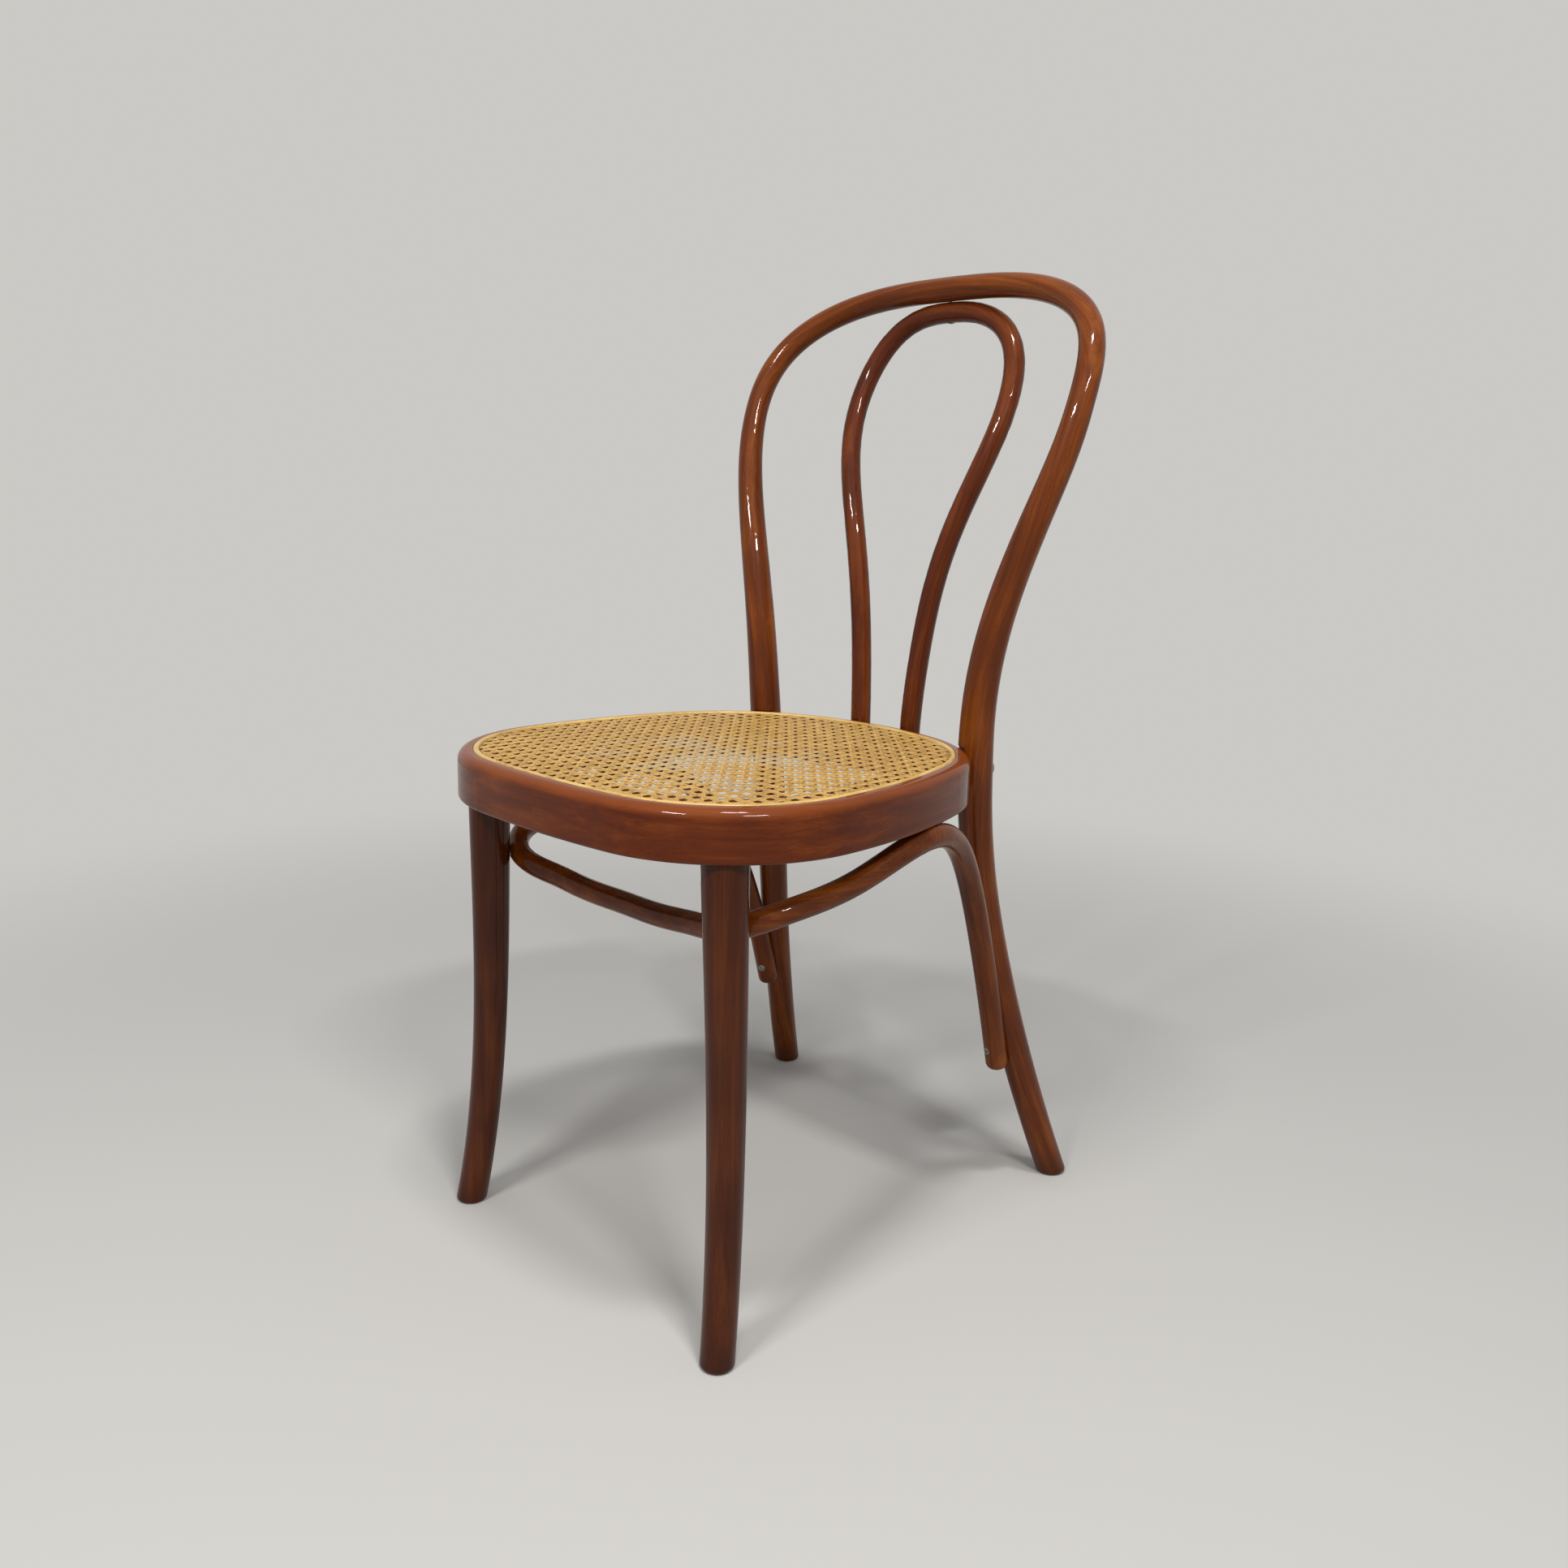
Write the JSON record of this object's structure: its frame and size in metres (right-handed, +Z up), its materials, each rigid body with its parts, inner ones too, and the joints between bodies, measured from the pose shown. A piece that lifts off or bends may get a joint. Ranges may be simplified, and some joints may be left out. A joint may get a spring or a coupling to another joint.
{
  "type": "side chair",
  "caption": "Bentwood bistro chair: round-rod hooped back with inner loop, rounded seat ring with woven cane, turned-tenon front legs and a bent leg brace.",
  "frame": {"origin": "on the floor, under the middle of the chair's box", "axes": "+Z up, the front of the chair faces -Y, symmetric about X = 0"},
  "size_m": [0.4276, 0.5229, 0.887],
  "materials": {
    "bent_beech": "stained red-brown, glossy clear lacquer",
    "cane": "natural rattan cane, satin",
    "reed": "natural rattan reed, satin",
    "steel": "zinc-plated, dull"
  },
  "bodies": {
    "root": {"back_frame": "bent_beech", "inner_loop": "bent_beech", "seat_ring": "bent_beech", "front_leg_right": "bent_beech", "front_leg_left": "bent_beech", "leg_brace": "bent_beech", "cane_panel": "cane", "cane_spline": "reed", "frame_bolts": "steel", "frame_washers": "steel", "frame_nuts": "steel", "inner_loop_screws": "steel", "loop_top_screw": "steel", "brace_ring_screws": "steel", "front_leg_screws": "steel", "brace_end_screws": "steel", "tenon_lock_screws": "steel"}
  },
  "joints": []
}
